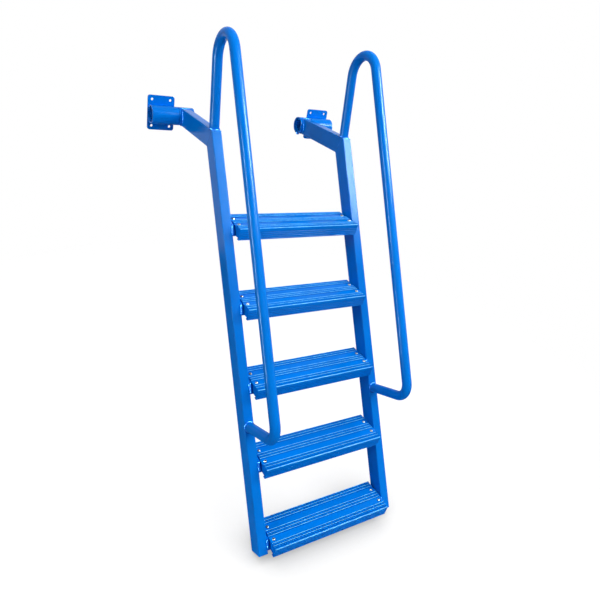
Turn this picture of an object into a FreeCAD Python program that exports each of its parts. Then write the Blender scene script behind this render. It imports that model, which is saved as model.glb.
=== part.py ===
import FreeCAD, Part
import math
import os

# Dock ladder with five ribbed steps, bent handrails and two swing-up wall brackets.
# Millimetres, +Z up, +Y towards the dock, X across the ladder.
# The ladder is drawn about its middle plane x = 0 with the stringer toe at y = z = 0.
# Every piece is then moved so that the origin is on the left plate's back face.

V = FreeCAD.Vector

# Driving sizes of the frame
LEAN = 31.7
ARM_RISE = 0.0
BAR_W = 38.1
BAR_D = 70.0
BAR_WALL = 3.2
BAR_ROUND = 3.0
TREAD_L = 533.4
END_GAP = 8.5
STRINGER_TOP = 1361.5

# Driving sizes of the steps
RISE = 254.0
STEP_COUNT = 5
LOW_STEP = 53.5
NOSE_OUT = 61.4
TREAD_D = 145.5
SKIN = 3.2
LIP_H = 48.0
LIP_BACK = 4.5
LIP_RETURN = 13.0
REAR_LIP = 26.0
RIB_H = 2.2
RIB_PITCH = 6.1
RIB_W = 3.4
REAR_RIBS = 5
MID_RIBS = 5
FRONT_RIBS = 4
RIB_SLOPE = 0.5
NOSE_R = 4.0
NOSE_FLAT = 3.6
REAR_R = 2.5
LIP_GROOVES = 4
LIP_PLAIN_TOP = 10.0
LIP_PLAIN_LOW = 5.0
GROOVE_D = 0.9
GROOVE_SIDE = 1.0
SCREW_INSET = 15.0

# Driving sizes of the step brackets
ANGLE_T = 4.8
ANGLE_LEG = 38.1
ANGLE_SHELF = 38.1
ANGLE_CLEAR = 1.0
ANGLE_INSET = 3.0
PACKER_W = 45.0
PACKER_BACK = 1.0
SHELF_MARGIN = 10.0
SCREW_HOLE = 6.5

# Driving sizes of the handrails
RAIL_OD = 38.1
RAIL_WALL = 3.0
RAIL_OUT = 222.0
RAIL_LEAN = 31.2
RAIL_FOOT = 25.0
BACK_LEAN = 6.5
TOP_BEND = 80.0
LOW_BEND = 60.0
RETURN_DROP = 26.5
LEFT_RETURN_UP = 516.0
RIGHT_RETURN_UP = 549.0
RAIL_OVERLAP = 40.0

# Driving sizes of the swing-up brackets
BARREL_OD = 73.0
BARREL_WALL = 5.2
PIVOT_GAP = 0.08
PIVOT_WALL = 4.0
ARM_RUN = 355.0
BARREL_INSIDE = 14.0
BARREL_GAP = 1.5
PLATE_W = 112.0
PLATE_H = 140.0
PLATE_T = 6.4
PLATE_ROUND = 10.0
PLATE_HOLE = 11.0
HOLES_X = 76.0
HOLES_Z = 107.0
PLATE_CLEAR = 14.5
SLEEVE_IN = 3.0
PIVOT_BACK = 8.0
COPE_GAP = 0.05

# Sizes that follow from the ones above
TAN = math.tan(math.radians(LEAN))
COS = math.cos(math.radians(LEAN))
SIN = math.sin(math.radians(LEAN))
BAR_X = TREAD_L / 2 + END_GAP + BAR_W / 2
BAR_IN = BAR_X - BAR_W / 2
BAR_OUT = BAR_X + BAR_W / 2
TURN = 90.0 - LEAN - ARM_RISE
MITRE_ANG = math.radians(ARM_RISE + TURN / 2 - 90.0)
MITRE_LEN = BAR_D / math.cos(math.radians(TURN / 2))
TOP_Y = STRINGER_TOP * TAN
MITRE_Y = TOP_Y + MITRE_LEN * math.cos(MITRE_ANG)
MITRE_Z = STRINGER_TOP + MITRE_LEN * math.sin(MITRE_ANG)
PIVOT_Y = (TOP_Y + MITRE_Y) / 2 + ARM_RUN
PIVOT_Z = (STRINGER_TOP + MITRE_Z) / 2 + ARM_RUN * math.tan(math.radians(ARM_RISE))
FACE_Y = PIVOT_Y + BARREL_OD / 2
BACK_Y = FACE_Y + PLATE_T
PLATE_IN = BAR_OUT + PLATE_CLEAR + BARREL_GAP
PLATE_X = PLATE_IN + PLATE_W / 2
SLEEVE_FROM = PLATE_IN - SLEEVE_IN
SLEEVE_TO = PLATE_IN + PLATE_W - SLEEVE_IN
BARREL_FROM = BAR_IN - BARREL_INSIDE
BARREL_TO = SLEEVE_FROM - BARREL_GAP
PIVOT_OD = BARREL_OD - 2 * BARREL_WALL - 2 * PIVOT_GAP
SCREW_X = TREAD_L / 2 - SCREW_INSET


def step_top(number):
    return LOW_STEP + (STEP_COUNT - number) * RISE


def save(shape, name):
    moved = shape.copy()
    moved.translate(V(PLATE_X, -BACK_Y, -PIVOT_Z))
    moved.exportStep("parts/" + name + ".step")


def mirrored(shape):
    return shape.mirror(V(0, 0, 0), V(1, 0, 0))


def save_pair(right_shape, name):
    save(right_shape, "right_" + name)
    save(mirrored(right_shape), "left_" + name)


def tube_x(x_from, x_to, radius):
    return Part.makeCylinder(radius, x_to - x_from, V(x_from, PIVOT_Y, PIVOT_Z), V(1, 0, 0))


def half_space(y, z, ang_deg, keep_below):
    """A big block on one side of the mitre line through (y, z)."""
    block = Part.makeBox(400, 3000, 3000, V(-200, -1500, -3000 if keep_below else 0))
    block.rotate(V(0, 0, 0), V(1, 0, 0), ang_deg)
    block.translate(V(BAR_X, y, z))
    return block


def bar(length):
    """Rounded rectangular hollow section, front face on y = 0, running up +Z."""
    outer = Part.makeBox(BAR_W, BAR_D, length, V(-BAR_W / 2, 0, 0))
    corners = [e for e in outer.Edges if abs(e.Vertexes[0].Z - e.Vertexes[1].Z) > 1]
    outer = outer.makeFillet(BAR_ROUND, corners)
    inner = Part.makeBox(BAR_W - 2 * BAR_WALL, BAR_D - 2 * BAR_WALL, length,
                         V(-BAR_W / 2 + BAR_WALL, BAR_WALL, 0))
    return outer.cut(inner)


def stringer():
    piece = bar(STRINGER_TOP / COS + 200)
    piece.rotate(V(0, 0, 0), V(1, 0, 0), -LEAN)
    piece.translate(V(BAR_X, 0, 0))
    return piece.common(half_space(TOP_Y, STRINGER_TOP, math.degrees(MITRE_ANG), True))


def arm():
    piece = bar(ARM_RUN + 400)
    piece.translate(V(0, 0, -150))
    piece.rotate(V(0, 0, 0), V(1, 0, 0), -(90.0 - ARM_RISE))
    piece.translate(V(BAR_X, TOP_Y, STRINGER_TOP))
    keep = half_space(TOP_Y, STRINGER_TOP, math.degrees(MITRE_ANG), False)
    piece = piece.common(keep)
    behind = Part.makeBox(400, 800, 800, V(BAR_X - 200, PIVOT_Y - 10, PIVOT_Z - 400))
    piece = piece.cut(behind)
    cope = tube_x(BAR_IN - 50, BAR_OUT + 50, BARREL_OD / 2 + COPE_GAP)
    return piece.cut(cope)


def bent_path(points, radii, x):
    """Straight runs joined by tangent arcs, in the plane at x."""
    edges = []
    last = V(x, points[0][0], points[0][1])
    for i in range(1, len(points) - 1):
        here = V(x, points[i][0], points[i][1])
        back = V(x, points[i - 1][0], points[i - 1][1]).sub(here)
        ahead = V(x, points[i + 1][0], points[i + 1][1]).sub(here)
        back.normalize()
        ahead.normalize()
        half = back.getAngle(ahead) / 2
        cut = radii[i - 1] / math.tan(half)
        start = here + back * cut
        end = here + ahead * cut
        middle = back + ahead
        middle.normalize()
        centre = here + middle * (radii[i - 1] / math.sin(half))
        top = centre - middle * radii[i - 1]
        edges.append(Part.makeLine(last, start))
        edges.append(Part.Arc(start, top, end).toShape())
        last = end
    edges.append(Part.makeLine(last, V(x, points[-1][0], points[-1][1])))
    return Part.Wire(edges)


def sweep_round(path, radius, x, start, ahead):
    circle = Part.makeCircle(radius, V(x, start[0], start[1]), V(0, ahead[0], ahead[1]))
    return path.makePipeShell([Part.Wire([circle])], True, True)


def handrail(return_up):
    """Bent tube from the mitre, up and over and down to a return on the stringer at x = BAR_X."""
    x = BAR_X
    back_tan = math.tan(math.radians(BACK_LEAN))
    front_tan = math.tan(math.radians(RAIL_LEAN))
    foot_y = TOP_Y + RAIL_FOOT
    foot_z = STRINGER_TOP
    low = (return_up * TAN - RAIL_OUT / COS, return_up)
    front_y = low[0] - low[1] * front_tan
    top_z = (foot_y - foot_z * back_tan - front_y) / (front_tan - back_tan)
    top_y = front_y + top_z * front_tan
    drop = math.radians(RETURN_DROP)
    reach = RAIL_OUT + RAIL_OVERLAP
    wall = (low[0] + reach * math.cos(drop), low[1] - reach * math.sin(drop))
    start = (foot_y - RAIL_OVERLAP * back_tan, foot_z - RAIL_OVERLAP)
    points = [start, (top_y, top_z), low, wall]
    path = bent_path(points, [TOP_BEND, LOW_BEND], x)
    ahead = (top_y - start[0], top_z - start[1])
    outer = sweep_round(path, RAIL_OD / 2, x, start, ahead)
    inner = sweep_round(path, RAIL_OD / 2 - RAIL_WALL, x, start, ahead)
    tube = outer.cut(inner)
    return tube.cut(frame_block())


def frame_block():
    """The filled outline of stringer and arm, to cope the handrail ends to it."""
    low = Part.makePolygon([V(BAR_X - 60, -400 * TAN, -400), V(BAR_X - 60, TOP_Y, STRINGER_TOP),
                            V(BAR_X - 60, TOP_Y + 900, STRINGER_TOP + 900 * math.tan(math.radians(ARM_RISE))),
                            V(BAR_X - 60, TOP_Y + 900, -400), V(BAR_X - 60, -400 * TAN, -400)])
    return Part.Face(Part.Wire(low)).extrude(V(120, 0, 0))


def tread_profile():
    """Step section in (back, up) from the nose: ribbed skin, rear lip, return, grooved front lip."""
    base = -RIB_H
    under = base - SKIN
    slope = LIP_BACK / LIP_H
    at = NOSE_R + NOSE_FLAT
    pts = [(0.0, 0.0), (at, 0.0), (at + RIB_SLOPE, base)]
    for index, count in enumerate([FRONT_RIBS, MID_RIBS, REAR_RIBS]):
        for i in range(count):
            lead = at + RIB_PITCH - RIB_W
            pts.append((lead, base))
            pts.append((lead + RIB_SLOPE, 0.0))
            pts.append((lead + RIB_W - RIB_SLOPE, 0.0))
            pts.append((lead + RIB_W, base))
            at += RIB_PITCH
        if index < 2:
            at += plain_band()
    pts = pts[:-2]
    pts.append((TREAD_D, 0.0))
    pts.append((TREAD_D, -REAR_LIP))
    pts.append((TREAD_D - SKIN, -REAR_LIP))
    pts.append((TREAD_D - SKIN, under))
    pts.append((SKIN + slope * -under, under))
    pts.append((LIP_BACK + SKIN, -LIP_H + SKIN))
    pts.append((LIP_BACK + LIP_RETURN, -LIP_H + SKIN))
    pts.append((LIP_BACK + LIP_RETURN, -LIP_H))
    pts.append((LIP_BACK, -LIP_H))
    pitch = (LIP_H - LIP_PLAIN_TOP - LIP_PLAIN_LOW) / LIP_GROOVES
    for i in range(LIP_GROOVES):
        low = -LIP_H + LIP_PLAIN_LOW + i * pitch
        high = low + 3 * GROOVE_SIDE
        pts.append((slope * -low, low))
        pts.append((slope * -low + GROOVE_D, low + GROOVE_SIDE))
        pts.append((slope * -low + GROOVE_D, high - GROOVE_SIDE))
        pts.append((slope * -high, high))
    return pts


def tread(number):
    z = step_top(number)
    y = z * TAN - NOSE_OUT
    pts = [V(-TREAD_L / 2, y + a, z + b) for a, b in tread_profile()]
    piece = Part.Face(Part.Wire(Part.makePolygon(pts + [pts[0]]))).extrude(V(TREAD_L, 0, 0))
    piece = rounded_along(piece, y, z, NOSE_R)
    piece = rounded_along(piece, y + TREAD_D, z, REAR_R)
    holes = [Part.makeCylinder(SCREW_HOLE / 2, 60, V(side * SCREW_X, y + back, z - 40))
             for side in (-1, 1) for back in screw_rows()]
    return piece.cut(holes)


def rounded_along(piece, y, z, radius):
    """Rounds the long edge that runs across the ladder at (y, z)."""
    edges = [e for e in piece.Edges
             if all(abs(v.Y - y) < 0.01 and abs(v.Z - z) < 0.01 for v in e.Vertexes)]
    return piece.makeFillet(radius, edges)


def plain_band():
    ribs = (FRONT_RIBS + MID_RIBS + REAR_RIBS) * RIB_PITCH
    return (TREAD_D - NOSE_R - NOSE_FLAT - ribs) / 2


def screw_rows():
    first = NOSE_R + NOSE_FLAT + FRONT_RIBS * RIB_PITCH + plain_band() / 2
    return [first, first + plain_band() + MID_RIBS * RIB_PITCH]


def angle(number):
    """Angle bracket under the step's end, with the packing bar that joins it to the stringer."""
    z = step_top(number) - RIB_H - SKIN
    nose = step_top(number) * TAN - NOSE_OUT
    first, last = screw_rows()
    slope = LIP_BACK / LIP_H
    front = nose + SKIN + slope * (RIB_H + SKIN) + ANGLE_CLEAR
    back = nose + last + SHELF_MARGIN
    bar_front = z * TAN + PACKER_BACK
    outer = TREAD_L / 2 - ANGLE_INSET
    upright = slab([(front, z), (back, z), (back - ANGLE_LEG * TAN, z - ANGLE_LEG),
                    (front + slope * ANGLE_LEG, z - ANGLE_LEG)], outer - ANGLE_T, outer)
    packer = slab([(bar_front, z), (bar_front + PACKER_W, z),
                   (bar_front + PACKER_W - ANGLE_LEG * TAN, z - ANGLE_LEG),
                   (bar_front - ANGLE_LEG * TAN, z - ANGLE_LEG)], outer, BAR_IN)
    shelf = Part.makeBox(ANGLE_SHELF, last - first + 2 * SHELF_MARGIN, ANGLE_T,
                         V(outer - ANGLE_SHELF, nose + first - SHELF_MARGIN, z - ANGLE_T))
    piece = upright.fuse([packer, shelf]).removeSplitter()
    holes = [Part.makeCylinder(SCREW_HOLE / 2, 60, V(SCREW_X, nose + back_by, z - 30))
             for back_by in (first, last)]
    return piece.cut(holes)


def slab(corners, x_from, x_to):
    """A flat piece between two planes across the ladder, outlined by (y, z) corners."""
    outline = [V(x_from, y, z) for y, z in corners]
    face = Part.Face(Part.Wire(Part.makePolygon(outline + [outline[0]])))
    return face.extrude(V(x_to - x_from, 0, 0))


def plate():
    low = V(PLATE_IN, FACE_Y, PIVOT_Z - PLATE_H / 2)
    piece = Part.makeBox(PLATE_W, PLATE_T, PLATE_H, low)
    corners = [e for e in piece.Edges if abs(e.Vertexes[0].Y - e.Vertexes[1].Y) > 1]
    piece = piece.makeFillet(PLATE_ROUND, corners)
    holes = [Part.makeCylinder(PLATE_HOLE / 2, PLATE_T + 20,
                               V(PLATE_X + sx * HOLES_X / 2, FACE_Y - 10, PIVOT_Z + sz * HOLES_Z / 2),
                               V(0, 1, 0))
             for sx in (-1, 1) for sz in (-1, 1)]
    return piece.cut(holes)


def ring(x_from, x_to, outer_r, inner_r):
    return tube_x(x_from, x_to, outer_r).cut(tube_x(x_from - 1, x_to + 1, inner_r))


def main():
    os.makedirs("parts", exist_ok=True)
    save_pair(stringer(), "stringer")
    save_pair(arm(), "arm")
    save(handrail(RIGHT_RETURN_UP), "right_handrail")
    save(mirrored(handrail(LEFT_RETURN_UP)), "left_handrail")
    save_pair(plate(), "mounting_plate")
    bore = BARREL_OD / 2 - BARREL_WALL
    save_pair(ring(SLEEVE_FROM, SLEEVE_TO, BARREL_OD / 2, bore), "plate_sleeve")
    save_pair(ring(BARREL_FROM, BARREL_TO, BARREL_OD / 2, bore), "arm_barrel")
    save_pair(ring(BARREL_FROM + PIVOT_BACK, SLEEVE_TO - PIVOT_BACK, PIVOT_OD / 2,
                   PIVOT_OD / 2 - PIVOT_WALL), "pivot_tube")
    for number in range(1, STEP_COUNT + 1):
        save(tread(number), "tread_%d" % number)
        save_pair(angle(number), "tread_bracket_%d" % number)


main()
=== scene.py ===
"""Dock ladder: coating with painted shade in its grooves and painted edge highlights, step crests with
a painted highlight, step screws, weld beads, retaining bolts and the studio.
"""

import math

import bmesh
import bpy
from bpy.props import FloatProperty, FloatVectorProperty, IntProperty, PointerProperty
from mathutils import Matrix, Vector


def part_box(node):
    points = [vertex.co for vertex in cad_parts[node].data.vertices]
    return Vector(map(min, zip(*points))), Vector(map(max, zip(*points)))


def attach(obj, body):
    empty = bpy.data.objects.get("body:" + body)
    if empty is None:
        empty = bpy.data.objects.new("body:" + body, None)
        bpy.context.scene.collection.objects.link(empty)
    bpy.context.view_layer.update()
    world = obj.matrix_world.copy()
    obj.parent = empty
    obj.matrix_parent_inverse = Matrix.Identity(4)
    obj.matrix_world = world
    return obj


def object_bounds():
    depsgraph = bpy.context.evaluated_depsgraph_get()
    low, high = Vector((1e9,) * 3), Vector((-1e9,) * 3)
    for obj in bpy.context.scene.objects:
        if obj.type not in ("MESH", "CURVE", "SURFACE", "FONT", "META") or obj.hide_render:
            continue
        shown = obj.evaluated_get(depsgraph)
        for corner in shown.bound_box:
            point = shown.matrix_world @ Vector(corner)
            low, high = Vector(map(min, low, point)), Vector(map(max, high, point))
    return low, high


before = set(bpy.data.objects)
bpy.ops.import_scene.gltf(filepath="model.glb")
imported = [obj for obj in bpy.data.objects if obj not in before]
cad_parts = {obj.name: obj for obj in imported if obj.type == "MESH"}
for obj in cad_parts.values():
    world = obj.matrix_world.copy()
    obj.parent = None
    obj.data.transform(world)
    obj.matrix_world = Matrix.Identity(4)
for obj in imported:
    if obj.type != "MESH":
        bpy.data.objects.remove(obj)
cad_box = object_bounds()

bl_info = {
    "name": "Dock ladder",
    "version": (1, 0, 0),
    "blender": (4, 5, 0),
    "location": "View3D > Sidebar > Dock ladder",
    "description": "Dresses a dock ladder with its coating, worn step crests, screws and weld beads",
    "category": "Object",
}

STEPS = [name for name in sorted(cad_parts) if name.startswith("tread_")]
SIDES = ("left", "right")

# Points on each ring of a turned or hexagonal piece
RING_POINTS = 24

# How often each finish's pattern comes back, in repeats to the metre
TONE_DRIFT = 7.0
GLOSS_DRIFT = 9.0
ORANGE_PEEL = 420.0
HIGHLIGHT_DASH = 50.0
STEEL_POLISH = 260.0
STEEL_SCRATCH = 1800.0
BEAD_BLOTCH = 190.0

# Button head, from its rim to its socket: shares of the head's radius and of its height
BUTTON_HEAD = [(0.97, 0.0), (1.0, 0.12), (0.97, 0.34), (0.86, 0.66), (0.70, 0.90), (0.56, 1.0)]
# Round collar of a lock nut: share of the nut's width, and drop below its flats
LOCK_COLLAR = [(0.49, 0.0006), (0.42, 0.0020), (0.33, 0.0022)]

# How far the middle of a worn crest lies below the top of its rib, in radii of the crest
CREST_DROP = 0.6
# How far the middle of the nose line lies inside the nose, in radii of the line
NOSE_LINE_DEPTH = 0.7
# How far both stop short of a step's end
CREST_END = 0.001

# Where the middle of a bead lies, in radii of the bead
OUT_FROM_TUBE = 0.25
UP_FROM_TUBE_FOOT = 0.35
OUT_FROM_BARREL = 0.3
INSIDE_MITRE = 0.55
OUT_FROM_PLATE = 0.9


# Sizes and colours that a user would change

class LadderFinish(bpy.types.PropertyGroup):
    """Colours and gloss of the coat and of the screws, with the painted shade and highlights among
    them.
    """
    paint: FloatVectorProperty(
        name="Coating colour", description="Colour of the baked powder coat",
        subtype="COLOR", size=4, min=0, max=1, default=(0.0, 0.19, 0.74, 1.0))
    paint_deep: FloatVectorProperty(
        name="Thick coating colour", description="Colour where the coat lies thicker",
        subtype="COLOR", size=4, min=0, max=1, default=(0.0, 0.172, 0.68, 1.0))
    # Partly the coat thinning over sharp edges, partly a painted highlight along them
    edge_thin_coat_and_highlight: FloatVectorProperty(
        name="Edge colour", description="Colour where the coat thins over sharp edges",
        subtype="COLOR", size=4, min=0, max=1, default=(0.002, 0.235, 0.84, 1.0))
    # Painted highlight along the rib crests
    crest_highlight_colour: FloatVectorProperty(
        name="Trodden colour", description="Colour of the thin coat where feet tread",
        subtype="COLOR", size=4, min=0, max=1, default=(0.002, 0.26, 0.92, 1.0))
    # Brighter painted highlight, on every other rib crest and along the nose line
    bright_highlight_colour: FloatVectorProperty(
        name="Rubbed colour",
        description="Colour of the lightest coat, on every other rib and along the nose",
        subtype="COLOR", size=4, min=0, max=1, default=(0.13, 0.62, 1.0, 1.0))
    # Painted shade in grooves and narrow nooks
    painted_groove_shade: FloatVectorProperty(
        name="Groove colour", description="Colour down in the narrow grooves",
        subtype="COLOR", size=4, min=0, max=1, default=(0.0, 0.085, 0.45, 1.0))
    steel: FloatVectorProperty(
        name="Screw colour", description="Colour of the stainless screws",
        subtype="COLOR", size=4, min=0, max=1, default=(0.33, 0.32, 0.31, 1.0))
    steel_dull: FloatVectorProperty(
        name="Dull screw colour", description="Colour of the screws where their polish has gone",
        subtype="COLOR", size=4, min=0, max=1, default=(0.16, 0.155, 0.15, 1.0))
    # Painted shade in the screw sockets
    painted_socket_shade: FloatVectorProperty(
        name="Socket colour", description="Colour down in the sockets of the screws",
        subtype="COLOR", size=4, min=0, max=1, default=(0.03, 0.03, 0.03, 1.0))
    gloss: FloatProperty(
        name="Gloss", description="Specular level of the whole coat", default=0.045)
    alternate_rib_gloss: FloatProperty(
        name="Rubbed gloss", description="Specular level of the coat on every other rib",
        default=0.02)
    nose_gloss: FloatProperty(
        name="Nose gloss", description="Specular level of the coat along the nose", default=0.14)
    edge_round: FloatProperty(
        name="Edge rounding", description="How far the coat rounds off a sharp edge",
        default=0.0005, unit="LENGTH")
    # Reach of the painted groove shade
    groove_shade_reach: FloatProperty(
        name="Groove reach", description="Width below which a nook counts as a groove",
        default=0.0035, unit="LENGTH")
    # Reach of the painted socket shade
    socket_shade_reach: FloatProperty(
        name="Socket reach", description="Width below which a nook of a screw counts as its socket",
        default=0.004, unit="LENGTH")


class LadderSteps(bpy.types.PropertyGroup):
    """Sizes of the steps' ribs and of the round crests that carry a painted highlight."""
    nose: FloatProperty(
        name="Nose", description="Plain width from the front of a step to its first rib gap",
        default=0.0076, unit="LENGTH")
    rib_pitch: FloatProperty(
        name="Rib pitch", description="Distance between ribs", default=0.0061, unit="LENGTH")
    rib_width: FloatProperty(
        name="Rib width", description="Width of a rib at its foot", default=0.0034, unit="LENGTH")
    rib_height: FloatProperty(
        name="Rib height", description="Height of a rib above the plain bands",
        default=0.0022, unit="LENGTH")
    plain: FloatProperty(
        name="Plain band", description="Width of the flat bands that carry the screws",
        default=0.02625, unit="LENGTH")
    front_rows: IntProperty(name="Front ribs", description="Ribs behind the nose", default=4)
    back_rows: IntProperty(
        name="Other ribs", description="Ribs in the middle band and in the rear band", default=5)
    crest: FloatProperty(
        name="Crest radius", description="Radius of the round crest on each rib",
        default=0.0015, unit="LENGTH")
    nose_round: FloatProperty(
        name="Nose radius", description="Radius of the round nose of a step",
        default=0.0040, unit="LENGTH")
    nose_line: FloatProperty(
        name="Nose line", description="Radius of the line that feet wear along the nose",
        default=0.0013, unit="LENGTH")


class LadderScrews(bpy.types.PropertyGroup):
    """Sizes and places of the step screws and of the retaining bolts."""
    head: FloatProperty(
        name="Head diameter", description="Diameter of a screw head", default=0.0125, unit="LENGTH")
    head_height: FloatProperty(
        name="Head height", description="Height of a screw head", default=0.0042, unit="LENGTH")
    socket: FloatProperty(
        name="Socket width", description="Width of the socket across its flats",
        default=0.0055, unit="LENGTH")
    washer: FloatProperty(
        name="Washer diameter", description="Diameter of the washer under the shelf",
        default=0.0138, unit="LENGTH")
    washer_height: FloatProperty(
        name="Washer thickness", description="Thickness of the washer under the shelf",
        default=0.0012, unit="LENGTH")
    nut: FloatProperty(
        name="Nut width", description="Width of the nut across its flats", default=0.010,
        unit="LENGTH")
    nut_height: FloatProperty(
        name="Nut height", description="Height of the nut's flats", default=0.0042, unit="LENGTH")
    thread: FloatProperty(
        name="Thread diameter", description="Diameter of the thread end", default=0.0058,
        unit="LENGTH")
    thread_end: FloatProperty(
        name="Thread end", description="How far the thread end stands out below the washer",
        default=0.0094, unit="LENGTH")
    end_margin: FloatProperty(
        name="End margin", description="Distance of the screws from the end of a step",
        default=0.015, unit="LENGTH")
    grip: FloatProperty(
        name="Grip", description="Thickness of the step skin and the bracket shelf together",
        default=0.0080, unit="LENGTH")
    bolt: FloatProperty(
        name="Bolt width", description="Width of a retaining bolt across its flats",
        default=0.013, unit="LENGTH")
    bolt_height: FloatProperty(
        name="Bolt height", description="How far a retaining bolt stands out of its barrel",
        default=0.0066, unit="LENGTH")
    bolt_flange: FloatProperty(
        name="Bolt flange", description="How far the flange of that bolt stands out",
        default=0.0014, unit="LENGTH")
    bolt_margin: FloatProperty(
        name="Bolt margin", description="Distance of the retaining bolts from the barrels' inner ends",
        default=0.0085, unit="LENGTH")


class LadderWelds(bpy.types.PropertyGroup):
    """Sizes of the weld beads, and of the tubes that they run round."""
    bead: FloatProperty(
        name="Bead radius", description="Radius of the beads round the tubes",
        default=0.0026, unit="LENGTH")
    bracket_bead: FloatProperty(
        name="Bracket bead radius", description="Radius of the beads on the step brackets",
        default=0.0054, unit="LENGTH")
    plate_bead: FloatProperty(
        name="Plate bead radius", description="Radius of the beads between plate and sleeve",
        default=0.0045, unit="LENGTH")
    mitre_bead: FloatProperty(
        name="Mitre bead radius", description="Radius of the dressed beads on the mitres",
        default=0.0012, unit="LENGTH")
    ripple: FloatProperty(
        name="Ripple pitch", description="Distance between the ripples of a bead",
        default=0.0032, unit="LENGTH")
    lean: FloatProperty(
        name="Stringer lean", description="Lean of the stringers from upright",
        default=math.radians(31.7), subtype="ANGLE", unit="ROTATION")
    rail: FloatProperty(
        name="Handrail diameter", description="Outer diameter of the handrail tube",
        default=0.0381, unit="LENGTH")
    rail_foot: FloatProperty(
        name="Handrail foot", description="Distance of the handrail foot behind the mitre",
        default=0.025, unit="LENGTH")
    left_return: FloatProperty(
        name="Left return height", description="Height of the left return above the stringer toe",
        default=0.4165, unit="LENGTH")
    right_return: FloatProperty(
        name="Right return height", description="Height of the right return above the stringer toe",
        default=0.4495, unit="LENGTH")
    bar_depth: FloatProperty(
        name="Bar depth", description="Depth of the box section", default=0.070, unit="LENGTH")


class LadderStage(bpy.types.PropertyGroup):
    """Camera, floor and light."""
    camera_at: FloatVectorProperty(
        name="Camera place", description="Where the camera stands", subtype="TRANSLATION",
        unit="LENGTH", size=3, default=(-0.64768, -2.26397, 0.44896))
    heading: FloatProperty(
        name="Heading", description="Camera turned to the right of straight ahead",
        default=math.radians(34.06), subtype="ANGLE", unit="ROTATION")
    pitch: FloatProperty(
        name="Pitch", description="Camera tipped up, negative for down",
        default=math.radians(-28.33), subtype="ANGLE", unit="ROTATION")
    roll: FloatProperty(
        name="Roll", description="Camera rolled about its line of sight",
        default=math.radians(10.944), subtype="ANGLE", unit="ROTATION")
    focal: FloatProperty(
        name="Focal length", description="Focal length in widths of the picture",
        default=515.09 / 600)
    floor: FloatVectorProperty(
        name="Floor colour", description="Colour of the floor", subtype="COLOR", size=4,
        min=0, max=1, default=(0.92, 0.92, 0.92, 1.0))
    floor_seen: FloatVectorProperty(
        name="Floor as seen", description="Colour of the floor to the camera, for lighter shadows",
        subtype="COLOR", size=4, min=0, max=1, default=(0.14, 0.14, 0.14, 1.0))
    floor_glow: FloatProperty(
        name="Floor lift", description="Light added to the floor where the camera sees it",
        default=0.95)
    # Painted contact shadow: how much of the floor lift is taken away beside the ladder, and over what
    # distance it comes back
    painted_shadow_depth: FloatProperty(
        name="Floor touch", description="Share of that light that is lost right beside the ladder",
        default=0.78)
    painted_shadow_reach: FloatProperty(
        name="Floor nearness", description="Distance over which that light comes back",
        default=0.30, unit="LENGTH")
    floor_reach: FloatProperty(
        name="Floor reach", description="Distance from the middle at which the floor has faded",
        default=2.4, unit="LENGTH")
    floor_fade: FloatProperty(
        name="Floor fade", description="Share of that distance at which the floor starts to fade",
        default=0.45)
    shine: FloatVectorProperty(
        name="Highlight colour", description="Colour of the lamps that only make highlights",
        subtype="COLOR", size=3, min=0, max=1, default=(0.60, 0.90, 1.0))
    surround: FloatProperty(
        name="Surround light", description="Strength of the light from all round", default=0.04)


# Meshes

def new_object(name, mesh):
    """An object at the origin that shows the mesh."""
    made = bpy.data.objects.new(name, mesh)
    bpy.context.scene.collection.objects.link(made)
    return made


def points_object(name, places, edges=()):
    """Loose points and edges, which a tree then grows into a piece."""
    mesh = bpy.data.meshes.new(name)
    mesh.from_pydata([tuple(p) for p in places], list(edges), [])
    return new_object(name, mesh)


def hexagon(width, height):
    """Points on a hexagon that is this wide across its flats, as many as a round ring has."""
    points = []
    for i in range(RING_POINTS):
        turn = 2 * math.pi * i / RING_POINTS
        from_flat = (turn + math.pi / 6) % (math.pi / 3) - math.pi / 6
        reach = width / 2 / math.cos(from_flat)
        points.append((reach * math.cos(turn), reach * math.sin(turn), height))
    return points


def circle(radius, height):
    """Points on a round ring."""
    turns = [2 * math.pi * i / RING_POINTS for i in range(RING_POINTS)]
    return [(radius * math.cos(turn), radius * math.sin(turn), height) for turn in turns]


def bridged(bm, rings):
    """Closes a shell through rings of the same number of points, with a face on each end."""
    made = [[bm.verts.new(p) for p in ring] for ring in rings]
    count = len(made[0])
    for low, high in zip(made, made[1:]):
        for i in range(count):
            j = (i + 1) % count
            bm.faces.new((low[i], low[j], high[j], high[i]))
    bm.faces.new(list(reversed(made[0])))
    bm.faces.new(made[-1])


def finished_mesh(bm, name):
    """A smooth mesh that keeps the edges of its flats and ends sharp."""
    bmesh.ops.recalc_face_normals(bm, faces=bm.faces)
    mesh = bpy.data.meshes.new(name)
    bm.to_mesh(mesh)
    bm.free()
    mesh.shade_smooth()
    mesh.set_sharp_from_angle(angle=math.radians(35))
    return mesh


# Geometry Nodes

def new_tree(name, inputs):
    """(tree, its input node, its output node) with these further inputs, as (name, kind)."""
    tree = bpy.data.node_groups.new(name, "GeometryNodeTree")
    face = tree.interface
    face.new_socket(name="Geometry", in_out="INPUT", socket_type="NodeSocketGeometry")
    for label, kind in inputs:
        face.new_socket(name=label, in_out="INPUT", socket_type="NodeSocket" + kind)
    face.new_socket(name="Geometry", in_out="OUTPUT", socket_type="NodeSocketGeometry")
    return tree, tree.nodes.new("NodeGroupInput"), tree.nodes.new("NodeGroupOutput")


def add(tree, kind, links=None, **settings):
    """A node with each input linked to a socket or set to a value."""
    node = tree.nodes.new(kind)
    for key, value in settings.items():
        setattr(node, key, value)
    for key, source in (links or {}).items():
        socket = node.inputs[key]
        if isinstance(source, bpy.types.NodeSocket):
            tree.links.new(source, socket)
        else:
            socket.default_value = source
    return node


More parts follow.
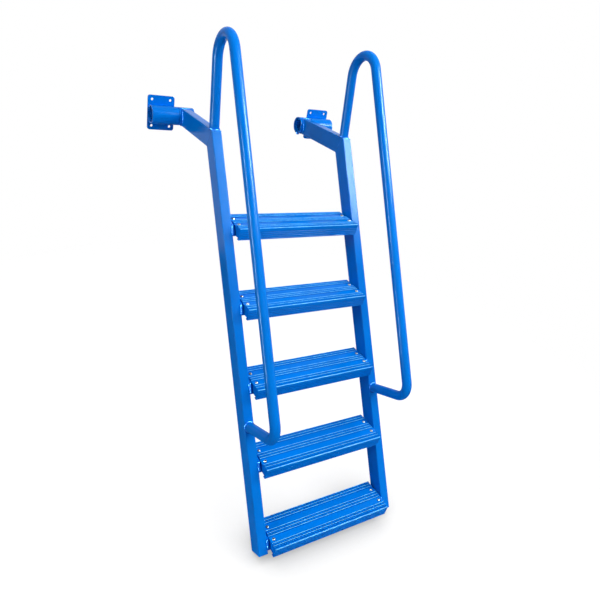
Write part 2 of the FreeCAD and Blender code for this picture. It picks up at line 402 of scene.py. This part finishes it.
def maths(tree, operation, a, b=0.0, c=0.0):
    """The result of one sum on sockets or numbers."""
    return add(tree, "ShaderNodeMath", {0: a, 1: b, 2: c}, operation=operation).outputs[0]


def ended(tree, geometry, material, output):
    """Makes the instances real, gives them their material and ends the tree."""
    real = add(tree, "GeometryNodeRealizeInstances", {"Geometry": geometry})
    done = add(tree, "GeometryNodeSetMaterial", {"Geometry": real.outputs[0], "Material": material})
    tree.links.new(done.outputs[0], output.inputs[0])


def grown(base, tree, values, name):
    """A plain mesh object from base with the tree run on it; base is used up."""
    modifier = base.modifiers.new("shape", "NODES")
    modifier.node_group = tree
    for item in tree.interface.items_tree:
        if item.in_out == "INPUT" and item.name in values:
            modifier[item.identifier] = values[item.name]
    graph = bpy.context.evaluated_depsgraph_get()
    graph.update()
    mesh = bpy.data.meshes.new_from_object(base.evaluated_get(graph), depsgraph=graph)
    base.modifiers.remove(modifier)
    bpy.data.objects.remove(base)
    mesh.name = name
    return new_object(name, mesh)


def crest_tree():
    """A smooth round crest along each line of the input."""
    tree, given, output = new_tree("rib crests", [("Radius", "Float"), ("Material", "Material")])
    line = add(tree, "GeometryNodeMeshToCurve", {"Mesh": given.outputs["Geometry"]})
    section = add(tree, "GeometryNodeCurvePrimitiveCircle", {
        "Resolution": RING_POINTS, "Radius": given.outputs["Radius"]}, mode="RADIUS")
    crest = add(tree, "GeometryNodeCurveToMesh", {
        "Curve": line.outputs[0], "Profile Curve": section.outputs[0], "Fill Caps": True})
    smooth = add(tree, "GeometryNodeSetShadeSmooth", {"Geometry": crest.outputs[0]})
    ended(tree, smooth.outputs[0], given.outputs["Material"], output)
    return tree


def copies_tree():
    """A copy of one object on each point of the input."""
    tree, given, output = new_tree("fasteners", [("Fastener", "Object"), ("Material", "Material")])
    pattern = add(tree, "GeometryNodeObjectInfo", {"Object": given.outputs["Fastener"]})
    placed = add(tree, "GeometryNodeInstanceOnPoints", {
        "Points": given.outputs["Geometry"], "Instance": pattern.outputs["Geometry"]})
    ended(tree, placed.outputs[0], given.outputs["Material"], output)
    return tree


def bead_tree():
    """A rippled bead along each line of the input, round at both ends where the line is open."""
    tree, given, output = new_tree("weld bead", [
        ("Radius", "Float"), ("Ripple", "Float"), ("Open ends", "Float"), ("Material", "Material")])
    line = add(tree, "GeometryNodeMeshToCurve", {"Mesh": given.outputs["Geometry"]})
    fine = maths(tree, "MULTIPLY", given.outputs["Ripple"], 0.2)
    spaced = add(tree, "GeometryNodeResampleCurve", {"Curve": line.outputs[0], "Length": fine},
                 mode="LENGTH")
    along = add(tree, "GeometryNodeSplineParameter").outputs["Length"]
    whole = add(tree, "GeometryNodeSplineLength").outputs["Length"]
    turns = maths(tree, "DIVIDE", along, given.outputs["Ripple"])
    wave = maths(tree, "PINGPONG", turns, 0.5)
    rippled = maths(tree, "MULTIPLY_ADD", wave, 0.22, 0.90)
    place = add(tree, "GeometryNodeInputPosition")
    blotch = add(tree, "ShaderNodeTexNoise", {
        "Vector": place.outputs[0], "Scale": BEAD_BLOTCH, "Detail": 1.0})
    uneven = maths(tree, "MULTIPLY_ADD", blotch.outputs["Fac"], 0.26, 0.87)
    left = maths(tree, "SUBTRACT", whole, along)
    near = maths(tree, "MINIMUM", along, left)
    share = maths(tree, "MINIMUM", maths(tree, "DIVIDE", near, given.outputs["Radius"]), 1.0)
    rest = maths(tree, "SUBTRACT", 1.0, share)
    round_end = maths(tree, "SQRT", maths(tree, "SUBTRACT", 1.02, maths(tree, "MULTIPLY", rest, rest)))
    closed = maths(tree, "SUBTRACT", 1.0, given.outputs["Open ends"])
    shape = maths(tree, "MAXIMUM", round_end, closed)
    size = maths(tree, "MULTIPLY", maths(tree, "MULTIPLY", rippled, uneven),
                 maths(tree, "MULTIPLY", shape, given.outputs["Radius"]))
    section = add(tree, "GeometryNodeCurvePrimitiveCircle", {"Resolution": 10, "Radius": 1.0},
                  mode="RADIUS")
    bead = add(tree, "GeometryNodeCurveToMesh", {
        "Curve": spaced.outputs[0], "Profile Curve": section.outputs[0], "Scale": size,
        "Fill Caps": True})
    smooth = add(tree, "GeometryNodeSetShadeSmooth", {"Geometry": bead.outputs[0]})
    ended(tree, smooth.outputs[0], given.outputs["Material"], output)
    return tree


# Materials

def shader(name):
    """(material, its tree, its shader, the place on the piece) of a new material."""
    material = bpy.data.materials.new(name)
    material.use_nodes = True
    tree = material.node_tree
    surface = tree.nodes["Principled BSDF"]
    place = add(tree, "ShaderNodeTexCoord").outputs["Object"]
    return material, tree, surface, place


def noise(tree, place, scale, detail=2.0, rough=0.5):
    """Cloudy values about 0.5, which come back scale times to the metre."""
    return add(tree, "ShaderNodeTexNoise", {
        "Vector": place, "Scale": scale, "Detail": detail, "Roughness": rough}).outputs["Fac"]


def ranged(tree, value, low, high, from_low=0.3, from_high=0.7):
    """The value laid out from low to high, where it runs from from_low to from_high itself."""
    return add(tree, "ShaderNodeMapRange", {
        "Value": value, "From Min": from_low, "From Max": from_high, "To Min": low,
        "To Max": high}).outputs[0]


def blended(tree, share, a, b):
    """Colour a with this share of colour b in it."""
    node = add(tree, "ShaderNodeMix", data_type="RGBA")
    tree.links.new(share, node.inputs[0])
    for socket, value in ((node.inputs[6], a), (node.inputs[7], b)):
        if isinstance(value, bpy.types.NodeSocket):
            tree.links.new(value, socket)
        else:
            socket.default_value = value
    return node.outputs[2]


def powder_coat(finish):
    """Glossy baked coating: fine orange peel, slow drift in tone, edges lighter from thinner coat and
    a painted highlight, painted shade in the grooves.
    """
    material, tree, surface, place = shader("blue_baked_coat")
    rounded = add(tree, "ShaderNodeBevel", {"Radius": finish.edge_round}, samples=6)
    true_face = add(tree, "ShaderNodeNewGeometry").outputs["True Normal"]
    meeting = add(tree, "ShaderNodeVectorMath", {0: rounded.outputs[0], 1: true_face},
                  operation="DOT_PRODUCT").outputs["Value"]
    # Edges lighter: partly thinner coat, partly a painted highlight
    edge = ranged(tree, meeting, 1.0, 0.0, 0.80, 0.995)
    drift = ranged(tree, noise(tree, place, TONE_DRIFT, 3.0), 0.0, 1.0)
    tone = blended(tree, drift, finish.paint, finish.paint_deep)
    edges_thin_and_highlit = blended(tree, edge, tone, finish.edge_thin_coat_and_highlight)
    # Painted shade in grooves and nooks, from ambient occlusion
    nook = add(tree, "ShaderNodeAmbientOcclusion", {"Distance": finish.groove_shade_reach}, samples=8)
    depth = ranged(tree, nook.outputs["AO"], 1.0, 0.0, 0.70, 0.97)
    tree.links.new(blended(tree, depth, edges_thin_and_highlit, finish.painted_groove_shade),
                   surface.inputs["Base Color"])
    roughness = ranged(tree, noise(tree, place, GLOSS_DRIFT, 3.0, 0.6), 0.13, 0.17)
    tree.links.new(roughness, surface.inputs["Roughness"])
    peel = noise(tree, place, ORANGE_PEEL, 1.0)
    bump = add(tree, "ShaderNodeBump", {
        "Strength": 0.05, "Distance": 0.0001, "Height": peel, "Normal": rounded.outputs[0]})
    tree.links.new(bump.outputs[0], surface.inputs["Normal"])
    open_face = maths(tree, "SUBTRACT", 1.0, maths(tree, "MAXIMUM", depth, edge))
    tree.links.new(maths(tree, "MULTIPLY", open_face, finish.gloss),
                   surface.inputs["Specular IOR Level"])
    return material


def plain_coat():
    """The frame's own coat, which catches more light than the baked one, as fresh beads do."""
    return bpy.data.materials["blue_powder_coat"]


def crest_highlight_coat(name, thin, whole, gloss):
    """The coat painted light as a highlight, broken by short dashes of the second colour."""
    material, tree, surface, place = shader(name)
    dash = ranged(tree, noise(tree, place, HIGHLIGHT_DASH, 1.0), 0.0, 0.5, 0.45, 0.65)
    tree.links.new(blended(tree, dash, thin, whole), surface.inputs["Base Color"])
    surface.inputs["Roughness"].default_value = 0.22
    surface.inputs["Specular IOR Level"].default_value = gloss
    return material


def stainless(finish):
    """Turned stainless steel, a little uneven in polish, with painted shade in its sockets."""
    material, tree, surface, place = shader("stainless_fastener")
    patchy = noise(tree, place, STEEL_POLISH, 3.0)
    tone = blended(tree, ranged(tree, patchy, 0.0, 1.0), finish.steel, finish.steel_dull)
    # Painted shade in the sockets, from ambient occlusion
    nook = add(tree, "ShaderNodeAmbientOcclusion", {"Distance": finish.socket_shade_reach}, samples=8)
    depth = ranged(tree, nook.outputs["AO"], 1.0, 0.0, 0.45, 0.85)
    tree.links.new(blended(tree, depth, tone, finish.painted_socket_shade), surface.inputs["Base Color"])
    tree.links.new(ranged(tree, patchy, 0.24, 0.38), surface.inputs["Roughness"])
    scratch = noise(tree, place, STEEL_SCRATCH, 2.0)
    bump = add(tree, "ShaderNodeBump", {"Strength": 0.12, "Distance": 0.0002, "Height": scratch})
    tree.links.new(bump.outputs[0], surface.inputs["Normal"])
    surface.inputs["Metallic"].default_value = 1.0
    return material


# Places on the frame

def step_places():
    """(left end x, right end x, nose y, top z) of each step."""
    places = []
    for name in STEPS:
        low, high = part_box(name)
        places.append((low.x, high.x, low.y, high.z))
    return places


def rib_lines(steps):
    """(distance behind the nose, whether it gets the brighter painted highlight) of each rib, from the
    front.
    """
    lines = []
    start = steps.nose
    for count in (steps.front_rows, steps.back_rows, steps.back_rows):
        first = start + steps.rib_pitch - steps.rib_width / 2
        lines += [(first + i * steps.rib_pitch, (count - i) % 2 == 1) for i in range(count)]
        start += count * steps.rib_pitch + steps.plain
    return lines


def screw_lines(steps):
    """Distance of the two rows of screws behind the nose."""
    first = steps.nose + steps.front_rows * steps.rib_pitch + steps.plain / 2
    return [first, first + steps.plain + steps.back_rows * steps.rib_pitch]


def bar_sides(side):
    """(left x, right x) of the box section on one side."""
    low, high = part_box(side + "_stringer")
    return low.x, high.x


def mitre_corner():
    """(y, z) of the upper front corner where stringer and arm meet."""
    low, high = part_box("left_arm")
    return low.y, high.z


def on_front(welds, z):
    """y of the stringer's front face at height z."""
    y, top = mitre_corner()
    return y + (z - top) * math.tan(welds.lean)


def toe_drop(welds):
    """Height of the mitre's upper corner above the stringer's toe."""
    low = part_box("left_stringer")[0]
    return mitre_corner()[1] - (low.z + welds.bar_depth * math.sin(welds.lean))


def ring(count, at):
    """Points and edges of a closed line: at(turn) gives each point."""
    places = [at(2 * math.pi * i / count) for i in range(count)]
    return places, [(i, (i + 1) % count) for i in range(count)]


def joined(lines):
    """One list of points and edges from several."""
    places, edges = [], []
    for some, links in lines:
        edges += [(a + len(places), b + len(places)) for a, b in links]
        places += some
    return places, edges


# Operators

class LADDER_OT_coating(bpy.types.Operator):
    """Gives every CAD node its powder coat"""
    bl_idname = "ladder.coating"
    bl_label = "Coating"

    def execute(self, context):
        coat = powder_coat(context.scene.ladder_finish)
        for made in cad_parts.values():
            made.data.materials.clear()
            made.data.materials.append(coat)
        return {"FINISHED"}


class LADDER_OT_step_crests(bpy.types.Operator):
    """Rounds the crest of each rib and the nose of each step, and paints a highlight along them"""
    bl_idname = "ladder.step_crests"
    bl_label = "Step crests"

    def execute(self, context):
        steps, finish = context.scene.ladder_steps, context.scene.ladder_finish
        # The crest and nose colours are painted highlights
        worn, rubbed = finish.crest_highlight_colour, finish.bright_highlight_colour
        coats = [crest_highlight_coat("blue_crest_highlight_coat", worn, finish.edge_thin_coat_and_highlight, 0.0),
                 crest_highlight_coat("blue_bright_highlight_coat", rubbed, worn, finish.alternate_rib_gloss),
                 crest_highlight_coat("blue_nose_highlight_coat", rubbed, worn, finish.nose_gloss)]
        reach = (steps.nose_round - steps.nose_line * NOSE_LINE_DEPTH) * math.sqrt(0.5)
        from_nose = steps.nose_round - reach
        ribs, bright_highlight_ribs, noses = [], [], []
        for left, right, nose, top in step_places():
            ends = (left + CREST_END, right - CREST_END)
            for back, is_bright_highlight in rib_lines(steps):
                line = [(x, nose + back, top - steps.crest * CREST_DROP) for x in ends]
                (bright_highlight_ribs if is_bright_highlight else ribs).append((line, [(0, 1)]))
            noses.append(([(x, nose + from_nose, top - from_nose) for x in ends], [(0, 1)]))
        tree = crest_tree()
        pieces = [("step_crests", ribs, steps.crest), ("step_rubbed_crests", bright_highlight_ribs, steps.crest),
                  ("step_noses", noses, steps.nose_line)]
        for (name, lines, radius), coat in zip(pieces, coats):
            places, edges = joined(lines)
            made = grown(points_object(name, places, edges), tree, {
                "Radius": radius, "Material": coat}, name)
            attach(made, "ladder")
        return {"FINISHED"}


def screw_pattern(screws):
    """A button head above z = 0, and washer, nut and thread end under the grip."""
    bm = bmesh.new()
    height = screws.head_height
    socket_floor = height * 0.12
    head = [circle(screws.head / 2 * wide, height * high) for wide, high in BUTTON_HEAD]
    bridged(bm, head + [hexagon(screws.socket, height), hexagon(screws.socket, socket_floor)])
    under = -screws.grip
    seat = under - screws.washer_height
    bridged(bm, [circle(screws.washer / 2, under), circle(screws.washer / 2, seat)])
    flats_end = seat - screws.nut_height
    collar = [circle(screws.nut * wide, flats_end - drop) for wide, drop in LOCK_COLLAR]
    bridged(bm, [hexagon(screws.nut, seat), hexagon(screws.nut, flats_end)] + collar)
    inside_collar = flats_end - 0.0008
    tip = seat - screws.thread_end
    chamfer = 0.0006
    radius = screws.thread / 2
    bridged(bm, [circle(radius, inside_collar), circle(radius, tip + chamfer),
                 circle(radius - chamfer, tip)])
    return new_object("screw", finished_mesh(bm, "screw"))


class LADDER_OT_step_screws(bpy.types.Operator):
    """Puts two screws through each end of each step and its bracket"""
    bl_idname = "ladder.step_screws"
    bl_label = "Step screws"

    def execute(self, context):
        steps, screws = context.scene.ladder_steps, context.scene.ladder_screws
        places = []
        for left, right, nose, top in step_places():
            for x in (left + screws.end_margin, right - screws.end_margin):
                places += [(x, nose + back, top - steps.rib_height) for back in screw_lines(steps)]
        pattern = screw_pattern(screws)
        made = grown(points_object("holes", places), copies_tree(), {
            "Fastener": pattern, "Material": stainless(context.scene.ladder_finish)},
            "step_screws")
        bpy.data.objects.remove(pattern)
        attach(made, "ladder")
        return {"FINISHED"}


def foot_line(welds, side):
    """Round the handrail's foot, on the arm's top."""
    low, high = bar_sides(side)
    y, z = mitre_corner()
    r = welds.rail / 2 + welds.bead * OUT_FROM_TUBE

    def at(turn):
        return ((low + high) / 2 + r * math.cos(turn), y + welds.rail_foot + r * math.sin(turn),
                z + welds.bead * UP_FROM_TUBE_FOOT)
    return ring(40, at)


def return_line(welds, side):
    """Round the handrail's return, on the stringer's front face."""
    low, high = bar_sides(side)
    height = welds.left_return if side == "left" else welds.right_return
    z = mitre_corner()[1] - toe_drop(welds) + height
    y = on_front(welds, z)
    out = Vector((0.0, -math.cos(welds.lean), math.sin(welds.lean)))
    up = Vector((0.0, math.sin(welds.lean), math.cos(welds.lean)))
    r = welds.rail / 2 + welds.bead * OUT_FROM_TUBE
    middle = Vector(((low + high) / 2, y, z)) + out * welds.bead * UP_FROM_TUBE_FOOT

    def at(turn):
        return tuple(middle + Vector((r * math.cos(turn), 0, 0)) + up * r * math.sin(turn))
    return ring(40, at)


def cope_line(welds, side):
    """Round the arm's end, on the barrel."""
    low, high = bar_sides(side)
    small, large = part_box(side + "_arm_barrel")
    y, z = (small.y + large.y) / 2, (small.z + large.z) / 2
    r = (large.z - small.z) / 2
    just_inside = 0.985
    reach = math.asin(welds.bar_depth / 2 / r * just_inside)
    spread = [reach * (i / 9 - 1) for i in range(19)]
    out = r + welds.bead * OUT_FROM_BARREL

    def at(x, turn):
        return (x, y - out * math.cos(turn), z + out * math.sin(turn))
    places = [at(low, t) for t in spread] + [at(high, t) for t in reversed(spread)]
    return places, [(i, (i + 1) % len(places)) for i in range(len(places))]


def mitre_line(welds, side):
    """Round the mitre between stringer and arm."""
    low, high = bar_sides(side)
    y, z = mitre_corner()
    half = (math.pi / 2 - welds.lean) / 2
    length = welds.bar_depth / math.cos(half)
    tip = half - math.pi / 2
    inset = welds.mitre_bead * INSIDE_MITRE
    left, right = low + inset, high - inset
    near = (y + inset, z - inset)
    far = (y + length * math.cos(tip) - inset, z + length * math.sin(tip) + inset)
    places = [(left, *near), (right, *near), (right, *far), (left, *far)]
    return places, [(0, 1), (1, 2), (2, 3), (3, 0)]


def bracket_lines(welds, side):
    """Down the corner of stringer and packing bar."""
    off_bar, off_face = 0.0012, 0.0006
    from_top, from_foot = 0.001, 0.003
    low, high = bar_sides(side)
    x = high + off_bar if side == "left" else low - off_bar
    lines = []
    for name in STEPS:
        small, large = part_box(side + "_tread_bracket_" + name[-1])
        places = [(x, on_front(welds, z) + off_face, z)
                  for z in (large.z - from_top, small.z + from_foot)]
        lines.append((places, [(0, 1)]))
    return lines


def plate_lines(welds, side):
    """In the two grooves between the sleeve and the plate."""
    small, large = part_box(side + "_plate_sleeve")
    r, middle = (large.z - small.z) / 2, (small.z + large.z) / 2
    rise = 2 * math.sqrt(r * welds.plate_bead)
    from_end = 0.006
    ends = [small.x + from_end, large.x - from_end]
    if side == "right":
        ends.reverse()
    y = large.y - welds.plate_bead * OUT_FROM_PLATE
    return [([(x, y, z) for x in ends], [(0, 1)]) for z in (middle + rise, middle - rise)]


class LADDER_OT_weld_beads(bpy.types.Operator):
    """Runs rippled beads round the welded joints"""
    bl_idname = "ladder.weld_beads"
    bl_label = "Weld beads"

    def execute(self, context):
        welds = context.scene.ladder_welds
        tree = bead_tree()
        # Name, lines, radius, whether their ends are open, and the body that they ride on
        groups = [
            ("handrail_welds", [foot_line(welds, s) for s in SIDES]
             + [return_line(welds, s) for s in SIDES], welds.bead, 0.0, "ladder"),
            ("arm_welds", [cope_line(welds, s) for s in SIDES], welds.bead, 0.0, "ladder"),
            ("mitre_welds", [mitre_line(welds, s) for s in SIDES], welds.mitre_bead, 0.0, "ladder"),
            ("bracket_welds", [line for s in SIDES for line in bracket_lines(welds, s)],
             welds.bracket_bead, 1.0, "ladder"),
            ("plate_welds", [line for s in SIDES for line in plate_lines(welds, s)],
             welds.plate_bead, 1.0, "dock_brackets"),
        ]
        for name, lines, radius, open_ends, body in groups:
            places, edges = joined(lines)
            made = grown(points_object("line", places, edges), tree, {
                "Radius": radius, "Ripple": welds.ripple, "Open ends": open_ends,
                "Material": plain_coat()}, name)
            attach(made, body)
        return {"FINISHED"}


def bolt_pattern(screws):
    """A hexagon head with a flange below z = 0, and a little of the flange above it, in the barrel."""
    bm = bmesh.new()
    width, flange = screws.bolt, screws.bolt * 0.6
    inside_barrel, inside_flange = 0.002, -0.001
    bridged(bm, [circle(flange, inside_barrel), circle(flange, -screws.bolt_flange)])
    tip = -screws.bolt_height
    chamfer = 0.001
    bridged(bm, [hexagon(width, inside_flange), hexagon(width, tip + chamfer),
                 circle(width / 2 - chamfer * 0.7, tip)])
    return new_object("bolt", finished_mesh(bm, "bolt"))


class LADDER_OT_retaining_bolts(bpy.types.Operator):
    """Puts a hexagon bolt under each arm barrel, which keeps the pivot tube in it"""
    bl_idname = "ladder.retaining_bolts"
    bl_label = "Retaining bolts"

    def execute(self, context):
        screws = context.scene.ladder_screws
        pattern = bolt_pattern(screws)
        places = []
        for side in SIDES:
            low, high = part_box(side + "_arm_barrel")
            x = high.x - screws.bolt_margin if side == "left" else low.x + screws.bolt_margin
            places.append((x, (low.y + high.y) / 2, low.z))
        made = grown(points_object("places", places), copies_tree(), {
            "Fastener": pattern, "Material": plain_coat()}, "retaining_bolts")
        bpy.data.objects.remove(pattern)
        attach(made, "ladder")
        return {"FINISHED"}


# Name, place, size, power, whether it lights, and whether it makes highlights
LAMPS = [
    ("key softbox", (2.6, -2.1, 1.95), (1.5, 1.4), 62.0, True, True),
    ("overhead softbox", (0.3, -0.9, 3.0), (2.4, 2.4), 56.0, True, False),
    ("front softbox", (0.9, -3.5, 1.7), (2.2, 1.6), 71.0, True, False),
    ("left softbox", (-3.0, -1.0, 0.6), (1.5, 1.5), 45.0, True, False),
    ("key shine", (2.4, -2.0, 1.80), (1.3, 1.2), 420.0, False, True),
    ("wide shine", (1.2, -2.6, 2.2), (1.2, 1.5), 85.0, False, True),
    ("tube shine", (1.24, -1.37, 1.14), (0.5, 0.5), 45.0, False, True),
    ("nose shine", (2.0, -2.4, 2.0), (0.8, 0.8), 240.0, False, True),
    ("edge strip", (-2.4, -0.9, -0.1), (0.22, 2.4), 420.0, False, True),
]


def area_lamp(name, place, aim, size, power, color):
    """A soft lamp at place that faces aim."""
    lamp = bpy.data.lights.new(name, "AREA")
    lamp.shape = "RECTANGLE"
    lamp.size, lamp.size_y = size
    lamp.energy = power
    lamp.color = color
    made = bpy.data.objects.new(name, lamp)
    bpy.context.scene.collection.objects.link(made)
    away = Vector(aim) - Vector(place)
    made.matrix_world = Matrix.Translation(place) @ away.to_track_quat("-Z", "Y").to_matrix().to_4x4()
    return made


def floor_finish(stage):
    """Pale floor that takes shadows, with a painted contact shadow beside the ladder, and fades into
    the white surround a little way off.
    """
    material, tree, surface, place = shader("floor")
    surface.inputs["Roughness"].default_value = 0.85
    surface.inputs["Specular IOR Level"].default_value = 0.0
    path = add(tree, "ShaderNodeLightPath")
    seen = path.outputs["Is Camera Ray"]
    mirrored = maths(tree, "MAXIMUM", seen, path.outputs["Is Glossy Ray"])
    tree.links.new(blended(tree, mirrored, stage.floor, stage.floor_seen),
                   surface.inputs["Base Color"])
    # Painted contact shadow: the floor lift fades where the ladder is near
    near = add(tree, "ShaderNodeAmbientOcclusion", {"Distance": stage.painted_shadow_reach}, samples=16)
    share = ranged(tree, near.outputs["AO"], 1.0 - stage.painted_shadow_depth, 1.0, 0.0, 1.0)
    lift = maths(tree, "MULTIPLY", maths(tree, "MULTIPLY", seen, stage.floor_glow), share)
    surface.inputs["Emission Color"].default_value = (1.0, 1.0, 1.0, 1.0)
    tree.links.new(lift, surface.inputs["Emission Strength"])
    low, high = cad_box
    middle = ((low.x + high.x) / 2, (low.y + high.y) / 2, 0.0)
    from_middle = add(tree, "ShaderNodeVectorMath", {0: place, 1: middle}, operation="SUBTRACT")
    flat = add(tree, "ShaderNodeVectorMath", {0: from_middle.outputs[0], 1: (1.0, 1.0, 0.0)},
               operation="MULTIPLY")
    away = add(tree, "ShaderNodeVectorMath", {0: flat.outputs[0]}, operation="LENGTH")
    faded = ranged(tree, away.outputs["Value"], 0.0, 1.0, stage.floor_reach * stage.floor_fade,
                   stage.floor_reach)
    unmirrored = maths(tree, "SUBTRACT", 1.0, path.outputs["Is Glossy Ray"])
    gone = maths(tree, "MULTIPLY", faded, unmirrored)
    clear = add(tree, "ShaderNodeBsdfTransparent")
    mixed = add(tree, "ShaderNodeMixShader", {0: gone, 1: surface.outputs[0], 2: clear.outputs[0]})
    tree.links.new(mixed.outputs[0], tree.nodes["Material Output"].inputs["Surface"])
    return material


def surround(stage):
    """White where it is seen or mirrored, softer as light."""
    world = bpy.data.worlds.new("surround")
    bpy.context.scene.world = world
    world.use_nodes = True
    tree = world.node_tree
    path = add(tree, "ShaderNodeLightPath")
    seen = maths(tree, "MAXIMUM", path.outputs["Is Camera Ray"], path.outputs["Is Transmission Ray"])
    mirrored = maths(tree, "MAXIMUM", seen, path.outputs["Is Glossy Ray"])
    strength = ranged(tree, mirrored, stage.surround, 1.0, 0.0, 1.0)
    back = tree.nodes["Background"]
    back.inputs["Color"].default_value = (1.0, 1.0, 1.0, 1.0)
    tree.links.new(strength, back.inputs["Strength"])


def studio_camera(stage):
    """A camera that stands where the picture was taken."""
    lens = bpy.data.cameras.new("camera")
    lens.sensor_width = 36.0
    lens.lens = stage.focal * lens.sensor_width
    lens.clip_start, lens.clip_end = 0.05, 100.0
    made = bpy.data.objects.new("camera", lens)
    bpy.context.scene.collection.objects.link(made)
    ahead = Vector((math.sin(stage.heading) * math.cos(stage.pitch),
                    math.cos(stage.heading) * math.cos(stage.pitch), math.sin(stage.pitch)))
    across = Vector((math.cos(stage.heading), -math.sin(stage.heading), 0.0))
    upward = across.cross(ahead)
    right = math.cos(stage.roll) * across + math.sin(stage.roll) * upward
    up = -math.sin(stage.roll) * across + math.cos(stage.roll) * upward
    turned = Matrix((right, up, -ahead)).transposed().to_4x4()
    made.matrix_world = Matrix.Translation(stage.camera_at) @ turned
    return made


class LADDER_OT_stage(bpy.types.Operator):
    """Makes the pale floor, the soft lamps and the camera"""
    bl_idname = "ladder.stage"
    bl_label = "Stage"

    def execute(self, context):
        scene, stage = context.scene, context.scene.ladder_stage
        low, high = cad_box
        middle = (low + high) / 2
        bm = bmesh.new()
        bmesh.ops.create_circle(bm, cap_ends=True, segments=96, radius=stage.floor_reach)
        mesh = bpy.data.meshes.new("floor")
        bm.to_mesh(mesh)
        bm.free()
        mesh.transform(Matrix.Translation((middle.x, middle.y, low.z - 0.0005)))
        mesh.materials.append(floor_finish(stage))
        new_object("floor", mesh)
        surround(stage)
        aim = (middle.x, middle.y, middle.z)
        for name, place, size, power, lights, shines in LAMPS:
            color = (1.0, 1.0, 1.0) if lights else stage.shine
            lamp = area_lamp(name, place, aim, size, power, color)
            lamp.visible_diffuse, lamp.visible_glossy = lights, shines
        bpy.context.scene.camera = studio_camera(stage)
        scene.view_settings.view_transform = "Standard"
        return {"FINISHED"}


class LADDER_PT_panel(bpy.types.Panel):
    bl_idname = "LADDER_PT_panel"
    bl_label = "Dock ladder"
    bl_space_type = "VIEW_3D"
    bl_region_type = "UI"
    bl_category = "Dock ladder"

    def draw(self, context):
        scene = context.scene
        for settings, operators in PANEL_ROWS:
            box = self.layout.box()
            group = getattr(scene, settings)
            for key in group.bl_rna.properties.keys():
                if key not in ("rna_type", "name"):
                    box.prop(group, key)
            for operator in operators:
                box.operator(operator)


GROUPS = {
    "ladder_finish": LadderFinish,
    "ladder_steps": LadderSteps,
    "ladder_screws": LadderScrews,
    "ladder_welds": LadderWelds,
    "ladder_stage": LadderStage,
}
PANEL_ROWS = [
    ("ladder_finish", ["ladder.coating"]),
    ("ladder_steps", ["ladder.step_crests"]),
    ("ladder_screws", ["ladder.step_screws", "ladder.retaining_bolts"]),
    ("ladder_welds", ["ladder.weld_beads"]),
    ("ladder_stage", ["ladder.stage"]),
]
OPERATORS = (LADDER_OT_coating, LADDER_OT_step_crests, LADDER_OT_step_screws,
             LADDER_OT_weld_beads, LADDER_OT_retaining_bolts, LADDER_OT_stage)


def register():
    for made in (*GROUPS.values(), *OPERATORS, LADDER_PT_panel):
        bpy.utils.register_class(made)
    for name, group in GROUPS.items():
        setattr(bpy.types.Scene, name, PointerProperty(type=group))


def unregister():
    for name in GROUPS:
        delattr(bpy.types.Scene, name)
    for made in (LADDER_PT_panel, *reversed(OPERATORS), *reversed(list(GROUPS.values()))):
        bpy.utils.unregister_class(made)


def main():
    register()
    bpy.ops.ladder.coating()
    bpy.ops.ladder.step_crests()
    bpy.ops.ladder.step_screws()
    bpy.ops.ladder.weld_beads()
    bpy.ops.ladder.retaining_bolts()
    bpy.ops.ladder.stage()


if __name__ == "__main__":
    main()
